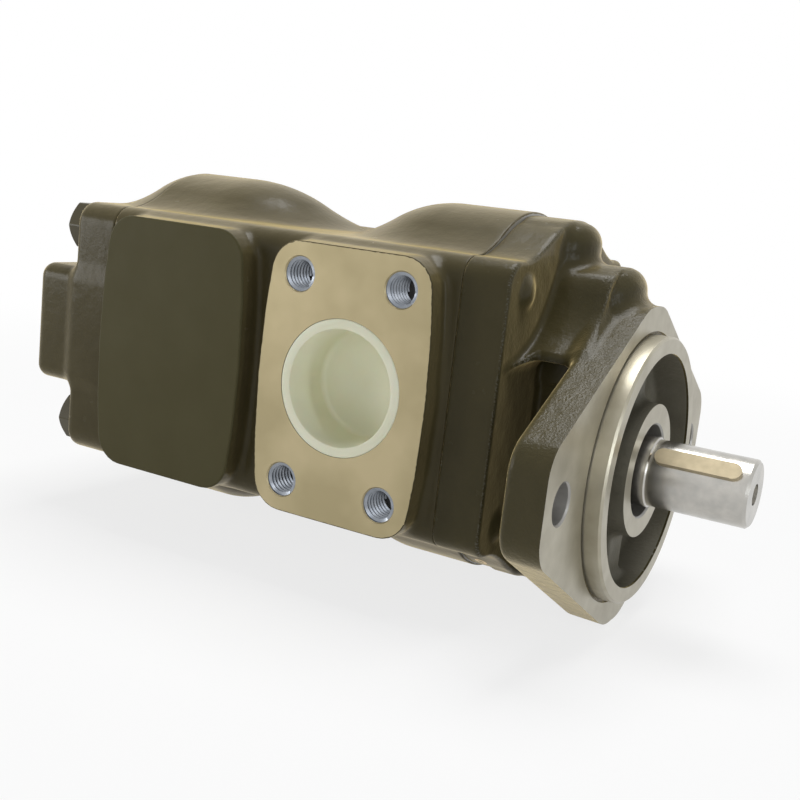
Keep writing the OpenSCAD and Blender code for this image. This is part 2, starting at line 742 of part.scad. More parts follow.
// Thrust plate from x to x + plate_t, with a cord groove on its back, side +1 or -1
module thrust_plate(x, side) {
    back = side > 0 ? x + plate_t : x;
    groove_x = side > 0 ? back - plate_cord_depth : back;
    difference() {
        along_x(x + (side > 0 ? face_gap : 0), x + plate_t - (side > 0 ? 0 : face_gap))
            cell_2d(cell_r_mm - running_gap);
        both_axes() rod_x(x - 1, x + plate_t + 1, bush_id + 1);
        plate_cord(groove_x - (side > 0 ? 0 : 1), groove_x + plate_cord_depth + (side > 0 ? 1 : 0),
            plate_cord_w + 2 * face_gap);
    }
}

// Figure-of-eight cord round both bores of a thrust plate
module plate_cord(x0, x1, w) {
    r = cell_r_mm - 1.7;
    along_x(x0, x1) difference() {
        cell_2d(r + w / 2);
        cell_2d(r - w / 2);
    }
}

module front_outer_plate() color("#b5894a") thrust_plate(seam_f - plate_t, 1);

module front_inner_plate() color("#b5894a") thrust_plate(cell_f, -1);

module rear_inner_plate() color("#b5894a") thrust_plate(cell_r - plate_t, 1);

module rear_outer_plate() color("#b5894a") thrust_plate(seam_r, -1);

module front_plate_seals() color("#202020") {
    plate_cord(seam_f - plate_cord_depth, seam_f, plate_cord_w);
    plate_cord(cell_f, cell_f + plate_cord_depth, plate_cord_w);
}

module rear_plate_seals() color("#202020") {
    plate_cord(cell_r - plate_cord_depth, cell_r, plate_cord_w);
    plate_cord(seam_r, seam_r + plate_cord_depth, plate_cord_w);
}

module shaft_seal_case() color("#7d7d78") turned_x() {
    od = seal_bore_d / 2;
    polygon([[od, seal_back], [od, seal_front], [od - seal_wall, seal_front],
        [od - seal_wall, seal_back + seal_wall], [seal_track_d / 2 + 1.6, seal_back + seal_wall],
        [seal_track_d / 2 + 1.6, seal_back]]);
}

module shaft_seal_lip() color("#202020") turned_x() {
    id = seal_track_d / 2 + running_gap;
    out = seal_track_d / 2 + 1.6 - lip_gap;
    polygon([[id + 0.4, seal_back], [out, seal_back], [out, seal_back + seal_wall],
        [out + 0.2, seal_back + seal_wall], [out - 0.4, seal_front - 1.8], [id, seal_front - 2.4],
        [id + 0.5, seal_front - 3.4]]);
}

module seal_garter_spring() color("silver") turned_x()
    translate([seal_track_d / 2 + 2.1, seal_front - 2.5]) circle(0.5, $fn = 24);

module seal_retaining_ring() color("#55554f")
    tube_x(seal_front + face_gap, seal_front + face_gap + ring_t, seal_bore_d + 2 * ring_depth - 0.2,
        seal_bore_d - 3.5);

// Push-in plug: an open cup with its mouth outwards; side is -1 for the suction side
module cup_plug(x, side, d, depth) {
    translate([x, 0, mid_z]) rotate([side < 0 ? 90 : -90, 0, 0]) rotate_extrude() {
        r = d / 2 - slide_gap;
        polygon([[0, pad_y - depth], [r - 1.5, pad_y - depth], [r - 0.4, pad_y - depth + 2],
            [r, pad_y - 3], [r, pad_y - 0.2], [r - plug_wall, pad_y - 0.2],
            [r - plug_wall - 0.9, pad_y - depth + 3], [0, pad_y - depth + 2.6]]);
    }
}

module inlet_plug() color("#e9e6c8") cup_plug(inlet_x, -1, inlet_d, plug_depth);

module front_outlet_plug() color("#e9e6c8") cup_plug(outlet_xs[0], 1, outlet_d, outlet_plug_depth);

module rear_outlet_plug() color("#e9e6c8") cup_plug(outlet_xs[1], 1, outlet_d, outlet_plug_depth);

module bleed_plug() color("#c9a24a")
    translate([bleed_x, 0, 0]) rotate([bleed_angle - 90, 0, 0]) translate([0, 0, -drive_hump_r + cover_step])
        difference() {
            cylinder(d = bleed_d, h = bleed_l);
            translate([0, 0, -eps]) cylinder(d = 2.6, h = 2, $fn = 6);
        }

front_cover();
centre_body();
rear_cover();
through_bolts();
bolt_washers();
dowel_pins();
front_section_seal();
rear_section_seal();
drive_shaft();
shaft_key();
drive_coupling();
rear_drive_gear();
front_idler_gear();
rear_idler_gear();
front_cover_bushes();
centre_front_bushes();
centre_rear_bushes();
rear_cover_bushes();
front_outer_plate();
front_inner_plate();
rear_inner_plate();
rear_outer_plate();
front_plate_seals();
rear_plate_seals();
shaft_seal_case();
shaft_seal_lip();
seal_garter_spring();
seal_retaining_ring();
inlet_plug();
front_outlet_plug();
rear_outlet_plug();
bleed_plug();
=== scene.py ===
"""Looks of the tandem gear pump: smooth castings, machined faces, threads, plugs, light and camera."""
import math
from itertools import product

import bmesh
import bpy
import numpy as np
from mathutils import Matrix, Vector, noise

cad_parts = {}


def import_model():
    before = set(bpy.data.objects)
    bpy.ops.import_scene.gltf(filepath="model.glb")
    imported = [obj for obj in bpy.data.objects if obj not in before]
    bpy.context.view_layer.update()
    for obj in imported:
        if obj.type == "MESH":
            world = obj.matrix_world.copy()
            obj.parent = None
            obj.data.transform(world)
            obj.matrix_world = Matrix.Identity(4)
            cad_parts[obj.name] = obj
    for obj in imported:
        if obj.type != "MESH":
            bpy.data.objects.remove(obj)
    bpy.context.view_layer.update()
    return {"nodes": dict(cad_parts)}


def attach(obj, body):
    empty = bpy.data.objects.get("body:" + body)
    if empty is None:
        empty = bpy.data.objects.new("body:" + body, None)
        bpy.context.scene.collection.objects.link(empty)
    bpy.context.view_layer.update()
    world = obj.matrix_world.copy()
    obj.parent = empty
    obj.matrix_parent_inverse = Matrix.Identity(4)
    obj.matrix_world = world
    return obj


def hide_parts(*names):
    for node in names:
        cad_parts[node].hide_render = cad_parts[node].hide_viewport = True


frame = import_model()

MM = 0.001
PI = math.pi

# Sizes in mm, as in the part's source
GEAR_SPAN = 40.2
MID_Z = GEAR_SPAN / 2
HALF_W, HALF_H, EDGE_R = 57.5, 53.4, 9.0
HUMP_R, DRIVE_HUMP_R = 49.8, 51.4
CREST_R, KEEL_R = HUMP_R - 1.9, DRIVE_HUMP_R - 1.0
HUMP_FILLET = 8.0
# Axis height and radius of the humps, then where the front and the rear hump start to fall, and its radius
HUMPS = ((GEAR_SPAN, HUMP_R, (-84.0, 44), (-188.0, 76)),
         (0.0, DRIVE_HUMP_R, (-80.0, 32), (-176.0, 25)))
LOBE_R = 33.6
LOBE_NOSE, STUB_NOSE, NOSE_EDGE_R = (-28.9, 23), (-44.3, 18.5), 8.0
SCOOP_Y, SCOOP_Z, SCOOP_R = 60.5, 80, 44
BELL_HALF_W, BELL_NARROWING, BELL_TURN = 54, 16, 6
BELL_FLOOR = GEAR_SPAN - 4
NECK_HALF_W, NECK_TOP, NECK_X, NECK_HALF_L = 22, 42, -28, 15
DOME_R, DOME_SINK = 10, 8
PAD_Y, PAD_DRAFT = 66.5, 0.035
PAD_FILLET, OUTLET_FILLET, PAD_EDGE_R = 2.5, 2.0, 0.3
SPARE = 2.5
SEAM_SPARE = 1.5
SEAM_EASE = 0.6
SEAM_F, SEAM_R = -52.5, -214.3
COVER_FACE = -34.3
REAR_FACE, REAR_END = -235.5, -256.7
REAR_MIDDLE_HALF_H = 25.25
REAR_FALL = (SEAM_R + 3.3, 24)
FLANGE_T, FLANGE_DRAFT = 15.0, 0.03
PILOT_R, PILOT_H = 50.8, 6.5
RECESS_R, RECESS_DEPTH = 44.65, 9.0
BOSS_R, BOSS_H = 25.15, 5.4
SEAL_BORE_R, SHAFT_HOLE_R, RING_GROOVE_R = 17.7, 14.5, 19.3
BLEED_X, BLEED_TURN, BLEED_R = SEAM_F + 6.5, -59, 4.0
INLET_X, BLANK_X = -92.5, -174.3
BETWEEN_PADS = (INLET_X + BLANK_X) / 2
OUTLET_XS = (-76.5, -190.3)
INLET_R, OUTLET_R = 25.4, 12.7
PORT_DEPTH, PORT_MOUTH = 24, 0.15
TAP_DEPTH, TAP_MOUTH = 16.0, 0.6
# Place, side and radius of each port, then the spacing, radius and thread pitch of its tapped holes
PORTS = {"inlet": (INLET_X, -1, INLET_R, (42.9, 77.8), 6.35, 1.954),
         "front_outlet": (OUTLET_XS[0], 1, OUTLET_R, (26.2, 52.4), 4.75, 1.6),
         "rear_outlet": (OUTLET_XS[1], 1, OUTLET_R, (26.2, 52.4), 4.75, 1.6)}
AXES = {-1: "-Y", 1: "Y"}
FLANGE_HOLE_Y, FLANGE_HOLE_R = 73.0, 7.15
BOLT_HOLE_R = 6.5
BOLTS = [(sy * 42.0, MID_Z + sz * 42.5) for sy in (-1, 1) for sz in (-1, 1)]
FLOOR_Z = -61.3


# Shapes as distances, in mm

def join(a, b, r):
    """Union of two distances with a fillet of radius r."""
    u, v = np.maximum(r - a, 0), np.maximum(r - b, 0)
    return np.maximum(r, np.minimum(a, b)) - np.sqrt(u * u + v * v)


def trim(a, b, r):
    """Intersection of two distances with a rounded edge of radius r."""
    u, v = np.maximum(r + a, 0), np.maximum(r + b, 0)
    return np.minimum(-r, np.maximum(a, b)) + np.sqrt(u * u + v * v)


def box_2d(u, v, hu, hv, r):
    """Rectangle of half sizes hu and hv with round corners."""
    a, b = np.abs(u) - (hu - r), np.abs(v) - (hv - r)
    out = np.sqrt(np.maximum(a, 0) ** 2 + np.maximum(b, 0) ** 2)
    return out + np.minimum(np.maximum(a, b), 0) - r


def rounded(points, radii, n=8):
    """A closed outline with every corner rounded by its own radius."""
    pts = [np.array(p, float) for p in points]
    out = []
    for i, r in enumerate(radii):
        a, b, c = pts[i - 1], pts[i], pts[(i + 1) % len(pts)]
        u, v = (a - b) / np.linalg.norm(a - b), (c - b) / np.linalg.norm(c - b)
        half = math.acos(float(u @ v)) / 2
        w = (u + v) / np.linalg.norm(u + v)
        centre = b + w * r / math.sin(half)
        p, q = b + u * r / math.tan(half) - centre, b + v * r / math.tan(half) - centre
        a0 = math.atan2(p[1], p[0])
        turn = (math.atan2(q[1], q[0]) - a0 + 3 * PI) % (2 * PI) - PI
        out += [centre + r * np.array([math.cos(a0 + turn * k / n), math.sin(a0 + turn * k / n)])
                for k in range(n + 1)]
    return out


def outline_2d(points, u, v):
    """Distance to a closed outline, negative inside."""
    best = np.full(np.broadcast(u, v).shape, 1e9)
    inside = np.zeros(best.shape, bool)
    for (x0, y0), (x1, y1) in zip(points, points[1:] + points[:1]):
        ex, ey = x1 - x0, y1 - y0
        wx, wy = u - x0, v - y0
        t = np.clip((wx * ex + wy * ey) / (ex * ex + ey * ey), 0, 1)
        best = np.minimum(best, (wx - ex * t) ** 2 + (wy - ey * t) ** 2)
        if abs(ey) > 1e-12:
            inside ^= ((y0 <= v) != (y1 <= v)) & (u < ex * (v - y0) / ey + x0)
    return np.where(inside, -1.0, 1.0) * np.sqrt(best)


def hump(x, y, z, axis_z, r, x0, fall, side):
    """Round hump about an axis along X that falls away beyond x0, towards side."""
    d = np.hypot(y, z - axis_z)
    return np.where((x - x0) * side < 0, d - r, np.hypot(d - (r - fall), x - x0) - fall)


def pad(x, y, z, xc, side, outline):
    """Port pad on one side, with a little draft, and spare height, since its face is cut later."""
    flat = outline_2d(outline, x - xc, z - MID_Z) - PAD_DRAFT * (PAD_Y - side * y)
    return np.maximum(trim(flat, side * y - PAD_Y - SPARE, PAD_EDGE_R), 30 - side * y)


def pad_outline():
    w = (32.75, 35.34, 36.2)
    right = [(w[0], -51), (w[1], -25.5), (w[2], 0), (w[1], 25.5), (w[0], 51)]
    left = [(-p[0], p[1]) for p in reversed(right)]
    return rounded(right + left, [12, 90, 120, 90, 12] * 2, 6)


PAD_OUTLINE = pad_outline()
OUTLET_OUTLINE = rounded([(23, -38), (23, 38), (-23, 38), (-23, -38)], [12] * 4, 8)


def flange_outline():
    half = [(87.3, -17.3), (87.3, 17.3), (8.7, 61.2), (-8.7, 61.2)]
    return rounded(half + [(-p[0], -p[1]) for p in half], [14, 14, 24, 24] * 2, 8)


FLANGE_OUTLINE = flange_outline()


def centre_body(x, y, z):
    d = box_2d(y, z - MID_Z, HALF_W, HALF_H, EDGE_R)
    for axis_z, r, front, rear in HUMPS:
        d = join(d, hump(x, y, z, axis_z, r, *front, -1), HUMP_FILLET)
        d = join(d, hump(x, y, z, axis_z, r, *rear, 1), HUMP_FILLET)
    for xc in (INLET_X, BLANK_X):
        d = join(d, pad(x, y, z, xc, -1, PAD_OUTLINE), PAD_FILLET)
    for xc in OUTLET_XS:
        d = join(d, pad(x, y, z, xc, 1, OUTLET_OUTLINE), OUTLET_FILLET)
    return np.maximum(d, np.abs(x - (SEAM_F + SEAM_R) / 2) - (SEAM_F - SEAM_R) / 2 - SEAM_SPARE)


def rear_cover(x, y, z):
    d = box_2d(y, z - MID_Z, HALF_W, HALF_H, EDGE_R)
    for axis_z, r, _, _ in HUMPS:
        d = join(d, hump(x, y, z, axis_z, r, *REAR_FALL, -1), HUMP_FILLET)
    d = trim(d, REAR_FACE - x, 2.5)
    middle = trim(box_2d(y, z - MID_Z, HALF_W, REAR_MIDDLE_HALF_H, 6), REAR_END - x, 4.5)
    return np.maximum(join(d, middle, 5.0), x - SEAM_R - SEAM_SPARE)


def front_cover(x, y, z):
    block = box_2d(y, z - MID_Z, HALF_W, HALF_H, EDGE_R)
    upper = np.hypot(y, z - GEAR_SPAN)
    lower = np.hypot(y, z)
    d = join(block, upper - CREST_R, HUMP_FILLET)
    d = join(d, lower - KEEL_R, HUMP_FILLET)
    d = trim(d, x - COVER_FACE, 1.3)
    for by, bz in BOLTS:
        dome = np.hypot(np.hypot(y - by, z - bz), x - COVER_FACE + DOME_SINK) - DOME_R
        d = join(d, dome, 1.0)
    # Bell with its two scoops, the lobe, the stub of the hump and the neck
    scoop = SCOOP_R - np.hypot(np.abs(y) - SCOOP_Y, z - SCOOP_Z)
    cap = np.minimum(upper - LOBE_R, z - 63)
    narrow = np.sin(PI / 2 * np.clip((x - COVER_FACE) / BELL_TURN, 0, 1))
    bell = trim(trim(scoop, np.abs(y) - BELL_HALF_W + BELL_NARROWING * narrow, 1.5), cap, 3.0)
    bell = trim(bell, BELL_FLOOR + 3 * narrow - z, 1.0)
    bell = np.maximum(bell, np.abs(x - NECK_X) - NECK_HALF_L)
    lobe = trim(upper - LOBE_R, np.hypot(x - LOBE_NOSE[0], y) - LOBE_NOSE[1], NOSE_EDGE_R)
    lobe = np.maximum(trim(lobe, join(scoop, -FLANGE_T - x, 2.0), 3.0), 30 - z)
    stub = trim(upper - CREST_R, np.hypot(x - STUB_NOSE[0], y) - STUB_NOSE[1], NOSE_EDGE_R)
    shape = join(np.minimum(bell, lobe), np.maximum(stub, 60 - z), 4.0)
    neck = trim(np.abs(y) - NECK_HALF_W, lower - KEEL_R, 6.0)
    neck = np.maximum(np.maximum(neck, z - NECK_TOP), np.abs(x - NECK_X) - NECK_HALF_L)
    d = join(d, join(shape, neck, 3.0), 2.2)
    plate = outline_2d(FLANGE_OUTLINE, y, z) - FLANGE_DRAFT * np.maximum(x, -FLANGE_T)
    plate = trim(plate, -FLANGE_T - x, 2.5)
    raw_pilot = lower - PILOT_R - 1.5
    plate = np.minimum(np.maximum(plate, x - 1.5), np.maximum(raw_pilot, np.abs(x - 2) - 6))
    d = join(d, np.maximum(plate, x - 8), 5.0)
    # Cast recess round the boss, with its two ribs
    ring = trim(lower - RECESS_R, BOSS_R + 0.3 - 0.05 * (x - BOSS_H) - lower, 2.0)
    pocket = trim(ring, -RECESS_DEPTH - x, 3.0)
    pocket = trim(pocket, join(8.0 - np.abs(y), -2.5 - x, 1.5), 4.0)
    return np.maximum(trim(d, -pocket, 1.5), SEAM_F - SEAM_SPARE - x)


# Meshes

def surface(name, f, low, high, h):
    """Mesh of the surface f = 0 inside the box low..high, on a grid of spacing h."""
    axes = [np.arange(lo, hi + h, h) for lo, hi in zip(low, high)]
    v = f(*np.meshgrid(*axes, indexing="ij", sparse=True))
    s = v < 0
    n = np.array(s.shape) - 1
    count = np.zeros(n, np.int8)
    for c in product((0, 1), repeat=3):
        count += s[c[0]:n[0] + c[0], c[1]:n[1] + c[1], c[2]:n[2] + c[2]]
    mixed = (count > 0) & (count < 8)
    cells = np.argwhere(mixed)
    index = np.full(mixed.shape, -1)
    index[mixed] = np.arange(len(cells))
    total = np.zeros((len(cells), 3))
    hits = np.zeros(len(cells))
    for c in product((0, 1), repeat=3):
        for ax in range(3):
            if c[ax]:
                continue
            step = np.eye(3, dtype=int)[ax]
            a, b = cells + c, cells + c + step
            va, vb = v[tuple(a.T)], v[tuple(b.T)]
            cross = (va < 0) != (vb < 0)
            t = np.where(cross, va / np.where(cross, va - vb, 1), 0)
            total += np.where(cross[:, None], np.array(c) + t[:, None] * step, 0)
            hits += cross
    pts = np.array(low) + (cells + total / hits[:, None]) * h
    quads = []
    for ax in range(3):
        b, c = np.eye(3, dtype=int)[(ax + 1) % 3], np.eye(3, dtype=int)[(ax + 2) % 3]
        lo = [slice(1, n[k]) for k in range(3)]
        hi = list(lo)
        lo[ax], hi[ax] = slice(0, n[ax]), slice(1, n[ax] + 1)
        first = s[tuple(lo)]
        e = np.argwhere(first != s[tuple(hi)])
        inside = first[tuple(e.T)]
        e = e + 1 - np.eye(3, dtype=int)[ax]
        q = np.stack([index[tuple((e - k).T)] for k in (0 * b, b, b + c, c)], axis=1)
        quads.append(np.where(inside[:, None], q, q[:, ::-1]))
    quads = np.concatenate(quads)
    for _ in range(3):
        d = f(*pts.T)
        g = np.stack([(f(*(pts + k).T) - f(*(pts - k).T)) / 0.1 for k in 0.05 * np.eye(3)], axis=1)
        g2 = np.maximum((g * g).sum(axis=1), 0.2)
        pts -= np.clip(d / g2, -h / 2, h / 2)[:, None] * g
    me = bpy.data.meshes.new(name)
    me.from_pydata((pts * MM).tolist(), [], quads.tolist())
    me.update()
    return add(name, me)


def add(name, me):
    obj = bpy.data.objects.new(name, me)
    bpy.context.scene.collection.objects.link(obj)
    return obj


def circle(n):
    """Cosine and sine of n even steps round a circle."""
    return [(math.cos(2 * PI * k / n), math.sin(2 * PI * k / n)) for k in range(n)]


def turned(name, profile, n=160, axis="X", at=(0, 0, 0)):
    """Solid turned about an axis from a closed profile of (radius, station) in mm."""
    bm = bmesh.new()
    rings = []
    for r, t in profile:
        if r < 1e-6:
            rings.append([bm.verts.new((t * MM, 0, 0))] * n)
        else:
            rings.append([bm.verts.new((t * MM, r * MM * c, r * MM * s)) for c, s in circle(n)])
    for i in range(len(rings)):
        a, b = rings[i], rings[(i + 1) % len(rings)]
        if a[0] is a[1] and b[0] is b[1]:
            continue
        for k in range(n):
            corners = []
            for vert in (a[k], a[(k + 1) % n], b[(k + 1) % n], b[k]):
                if vert not in corners:
                    corners.append(vert)
            bm.faces.new(corners)
    bmesh.ops.recalc_face_normals(bm, faces=bm.faces)
    me = bpy.data.meshes.new(name)
    bm.to_mesh(me)
    bm.free()
    angle = {"X": 0, "Y": PI / 2, "-Y": -PI / 2}[axis]
    me.transform(Matrix.Translation([c * MM for c in at]) @ Matrix.Rotation(angle, 4, "Z"))
    return add(name, me)


def bar(r0, r1, x0, x1, axis="X", at=(0, 0, 0), n=96, chamfer=0.0):
    """Cutter: round bar with an optional chamfer that widens its end x1 from r0 to r1."""
    profile = [(0, x0), (r0, x0), (r0, x1 - chamfer), (r1, x1), (0, x1)] if chamfer else \
        [(0, x0), (r0, x0), (r1, x1), (0, x1)]
    return turned("cutter", profile, n, axis, at)


def block(low, high):
    """Cutter: plain box from low to high, in mm."""
    bm = bmesh.new()
    bmesh.ops.create_cube(bm, size=1)
    size = [(b - a) * MM for a, b in zip(low, high)]
    centre = [(a + b) / 2 * MM for a, b in zip(low, high)]
    bmesh.ops.transform(bm, verts=bm.verts, matrix=Matrix.Translation(centre) @ Matrix.Diagonal((*size, 1)))
    me = bpy.data.meshes.new("cutter")
    bm.to_mesh(me)
    bm.free()
    return add("cutter", me)


def combine(obj, others, operation):
    """Applies a boolean with each of the other solids, which are used up."""
    for other in others:
        mod = obj.modifiers.new("cut", "BOOLEAN")
        mod.operation = operation
        mod.solver = "MANIFOLD"
        mod.object = other
        evaluated = obj.evaluated_get(bpy.context.evaluated_depsgraph_get())
        me = bpy.data.meshes.new_from_object(evaluated)
        obj.modifiers.clear()
        old = obj.data
        obj.data = me
        bpy.data.meshes.remove(old)
        bpy.data.objects.remove(other)
    return obj


def solid_copy(node):
    """Closed copy of a CAD node's mesh."""
    bm = bmesh.new()
    bm.from_mesh(frame["nodes"][node].data)
    bmesh.ops.remove_doubles(bm, verts=bm.verts, dist=1e-6)
    me = bpy.data.meshes.new("copy")
    bm.to_mesh(me)
    bm.free()
    return add("copy", me)


def hollows(node, zones):
    """Everything that a CAD node leaves empty inside the given boxes."""
    return [combine(block(*zone), [solid_copy(node)], "DIFFERENCE") for zone in zones]


def shade(obj, angle=32):
    """Smooth shading with sharp edges where faces meet at more than angle, in degrees."""
    me = obj.data
    me.polygons.foreach_set("use_smooth", [True] * len(me.polygons))
    bm = bmesh.new()
    bm.from_mesh(me)
    limit = math.radians(angle)
    for e in bm.edges:
        e.smooth = not (len(e.link_faces) == 2 and e.calc_face_angle(0) > limit)
    bm.to_mesh(me)
    bm.free()


def ease(obj, axis, plane, width, uneven=0.0, keep=None):
    """Rounds the outer rim of the flat face at a plane over width, in mm; uneven roughens it."""
    bm = bmesh.new()
    bm.from_mesh(obj.data)
    out = 1 if plane > sum(v.co[axis] for v in bm.verts) / len(bm.verts) / MM else -1
    normal = Vector([out if k == axis else 0 for k in range(3)])
    for part in (1.0, 0.55, 0.2):
        bmesh.ops.bisect_plane(bm, geom=bm.verts[:] + bm.edges[:] + bm.faces[:], dist=1e-7,
                               plane_co=normal * out * (plane - out * part * width) * MM, plane_no=normal)
    bm.normal_update()
    moves = []
    for v in bm.verts:
        low = (plane - v.co[axis] / MM) * out
        if low > width or low < -0.01 or (keep and not keep(v.co / MM)):
            continue
        n = Vector()
        for f in v.link_faces:
            if abs(f.normal[axis]) < 0.9:
                n += f.normal * f.calc_area() ** 0.5
        n[axis] = 0
        if n.length > 1e-9:
            t = min(1 - low / width, 1)
            size = width * (1 + uneven * noise.noise(v.co / MM * 0.9))
            moves.append((v, -n.normalized() * size * (1 - math.sqrt(1 - t * t)) * MM))
    for v, move in moves:
        v.co += move
    bm.to_mesh(obj.data)
    bm.free()


def centres(obj):
    """Centres of an object's faces, in mm, as an array."""
    c = np.zeros(len(obj.data.polygons) * 3)
    obj.data.polygons.foreach_get("center", c)
    return c.reshape(-1, 3) / MM


def paint_faces(obj, mats, slots):
    """Gives the object its materials and each face the material number in slots."""
    obj.data.materials.clear()
    for m in mats:
        obj.data.materials.append(m)
    obj.data.polygons.foreach_set("material_index", np.asarray(slots, np.int32))
    obj.data.update()


def keep_flat(obj, mask):
    """Shades the faces in mask flat, so that a rounded rim casts no false shade on them."""
    for k in np.flatnonzero(mask):
        obj.data.polygons[int(k)].use_smooth = False


# Materials

def material(name, color, rough, metal=0.0, second=None, tone_size=18, rough_swing=0.08, grain=0.0,
             grain_size=1.6, wave=0.0, coat=0.0, spec=0.5, streak=None, sheen=0.0, edge_highlight=None):
    """Procedural surface: two tones in soft patches, uneven roughness, and bumps of two sizes.

    tone_size and grain_size are in mm, grain and wave are the heights of the bumps in mm,
    streak stretches the fine bumps along one axis, as machining does, sheen adds a golden
    gloss at flat angles, and the last argument is the colour of a painted highlight in broken lines along
    sharp outer edges."""
    m = bpy.data.materials.new(name)
    m.use_nodes = True
    nt = m.node_tree
    nodes, links = nt.nodes, nt.links
    bsdf = nodes["Principled BSDF"]
    bsdf.inputs["Metallic"].default_value = metal
    bsdf.inputs["Specular IOR Level"].default_value = spec
    if coat:
        bsdf.inputs["Coat Weight"].default_value = coat
        bsdf.inputs["Coat Roughness"].default_value = 0.12
    if sheen:
        bsdf.inputs["Sheen Weight"].default_value = sheen
        bsdf.inputs["Sheen Roughness"].default_value = 0.35
        bsdf.inputs["Sheen Tint"].default_value = (1.0, 0.80, 0.40, 1)
    coord = nodes.new("ShaderNodeTexCoord")

    def pattern(size, detail=3.0, stretch=None):
        tex = nodes.new("ShaderNodeTexNoise")
        tex.inputs["Scale"].default_value = 1 / (size * MM)
        tex.inputs["Detail"].default_value = detail
        if stretch:
            mapping = nodes.new("ShaderNodeMapping")
            mapping.inputs["Scale"].default_value = stretch
            links.new(coord.outputs["Object"], mapping.inputs["Vector"])
            links.new(mapping.outputs["Vector"], tex.inputs["Vector"])
        else:
            links.new(coord.outputs["Object"], tex.inputs["Vector"])
        return tex

    tones = pattern(tone_size)
    ramp = nodes.new("ShaderNodeValToRGB")
    ramp.color_ramp.elements[0].position = 0.35
    ramp.color_ramp.elements[1].position = 0.68
    ramp.color_ramp.elements[0].color = (*color, 1)
    ramp.color_ramp.elements[1].color = (*(second or [c * 1.18 for c in color]), 1)
    links.new(tones.outputs["Fac"], ramp.inputs["Fac"])
    # Painted highlight: a light colour in broken flecks where pointiness finds sharp outer edges
    if edge_highlight:
        edge, flecks = nodes.new("ShaderNodeMapRange"), nodes.new("ShaderNodeMapRange")
        edge.inputs["From Min"].default_value, edge.inputs["From Max"].default_value = 0.53, 0.6
        links.new(nodes.new("ShaderNodeNewGeometry").outputs["Pointiness"], edge.inputs["Value"])
        flecks.inputs["From Min"].default_value, flecks.inputs["From Max"].default_value = 0.46, 0.62
        links.new(pattern(0.6, 2.0).outputs["Fac"], flecks.inputs["Value"])
        both = nodes.new("ShaderNodeMath")
        both.operation = "MULTIPLY"
        links.new(edge.outputs["Result"], both.inputs[0])
        links.new(flecks.outputs["Result"], both.inputs[1])
        mix = nodes.new("ShaderNodeMix")
        mix.data_type = "RGBA"
        mix.inputs["B"].default_value = (*edge_highlight, 1)
        links.new(both.outputs[0], mix.inputs["Factor"])
        links.new(ramp.outputs["Color"], mix.inputs["A"])
        links.new(mix.outputs["Result"], bsdf.inputs["Base Color"])
    else:
        links.new(ramp.outputs["Color"], bsdf.inputs["Base Color"])
    span = nodes.new("ShaderNodeMapRange")
    span.inputs["To Min"].default_value = rough - rough_swing
    span.inputs["To Max"].default_value = rough + rough_swing
    links.new(pattern(tone_size / 3, 4, streak).outputs["Fac"], span.inputs["Value"])
    links.new(span.outputs["Result"], bsdf.inputs["Roughness"])
    normal = None
    for height, size, stretch in ((wave, grain_size * 6, None), (grain, grain_size, streak)):
        if not height:
            continue
        bump = nodes.new("ShaderNodeBump")
        bump.inputs["Distance"].default_value = height * MM
        links.new(pattern(size, 2.5, stretch).outputs["Fac"], bump.inputs["Height"])
        if normal:
            links.new(normal, bump.inputs["Normal"])
        normal = bump.outputs["Normal"]
    if normal:
        links.new(normal, bsdf.inputs["Normal"])
    return m


PAINT = (0.060, 0.0495, 0.0215)
PAINT_LIGHT = (0.070, 0.058, 0.0265)
# Painted shade: the front casting's olive is made darker than the body's, standing in for the shade and dark
# reflections on its sides
PAINT_FRONT_SHADED, PAINT_FRONT_SHADED_LIGHT = (0.051, 0.043, 0.018), (0.060, 0.050, 0.022)
# Colours of the painted highlights along sharp outer edges
EDGE_HIGHLIGHT, EDGE_HIGHLIGHT_FRONT = (0.22, 0.21, 0.17), (0.36, 0.35, 0.31)
paint_flange = material("olive_paint_flange", PAINT_FRONT_SHADED, 0.24, second=PAINT_FRONT_SHADED_LIGHT, grain=0.15,
                        grain_size=0.85, wave=0.3, spec=0.14, sheen=1.0, edge_highlight=EDGE_HIGHLIGHT)
paint_front = material("olive_paint_front", PAINT_FRONT_SHADED, 0.24, second=PAINT_FRONT_SHADED_LIGHT, grain=0.07,
                       grain_size=1.1, wave=0.3, spec=0.12, sheen=1.0, edge_highlight=EDGE_HIGHLIGHT_FRONT)
paint_body = material("olive_paint_body", PAINT, 0.24, second=PAINT_LIGHT, grain=0.045, grain_size=1.2,
                      wave=0.22, spec=0.12, sheen=1.0, edge_highlight=EDGE_HIGHLIGHT)
paint_pad = material("olive_paint_pad", (0.072, 0.063, 0.027), 0.5, second=(0.078, 0.069, 0.031),
                     grain=0.012, grain_size=0.8, spec=0.1)
# Painted light: a grey-brown much lighter than the olive paint, standing in for the light that falls in the
# recess round the boss
lit_recess_paint = material("lit_recess_paint", (0.150, 0.138, 0.102), 0.5, second=(0.190, 0.176, 0.135),
                        grain=0.16, grain_size=1.3, wave=0.3, spec=0.2)
machined_pad = material("machined_pad", (0.40, 0.335, 0.19), 0.4, metal=0.5, second=(0.50, 0.42, 0.25),
                        tone_size=26, grain=0.005, grain_size=0.5, streak=(1, 1, 0.15), spec=0.2)
machined_flange = material("machined_flange", (0.36, 0.33, 0.25), 0.34, metal=0.7, second=(0.46, 0.43, 0.34),
                           tone_size=14, grain=0.006, grain_size=0.5)
bored = material("bored_iron", (0.32, 0.31, 0.29), 0.36, metal=0.5, tone_size=5, grain=0.01, grain_size=0.4)
shaft_steel = material("ground_shaft", (0.44, 0.43, 0.40), 0.22, metal=1.0, second=(0.53, 0.51, 0.47),
                       tone_size=6, grain=0.003, grain_size=0.3, streak=(1, 0.1, 0.1))
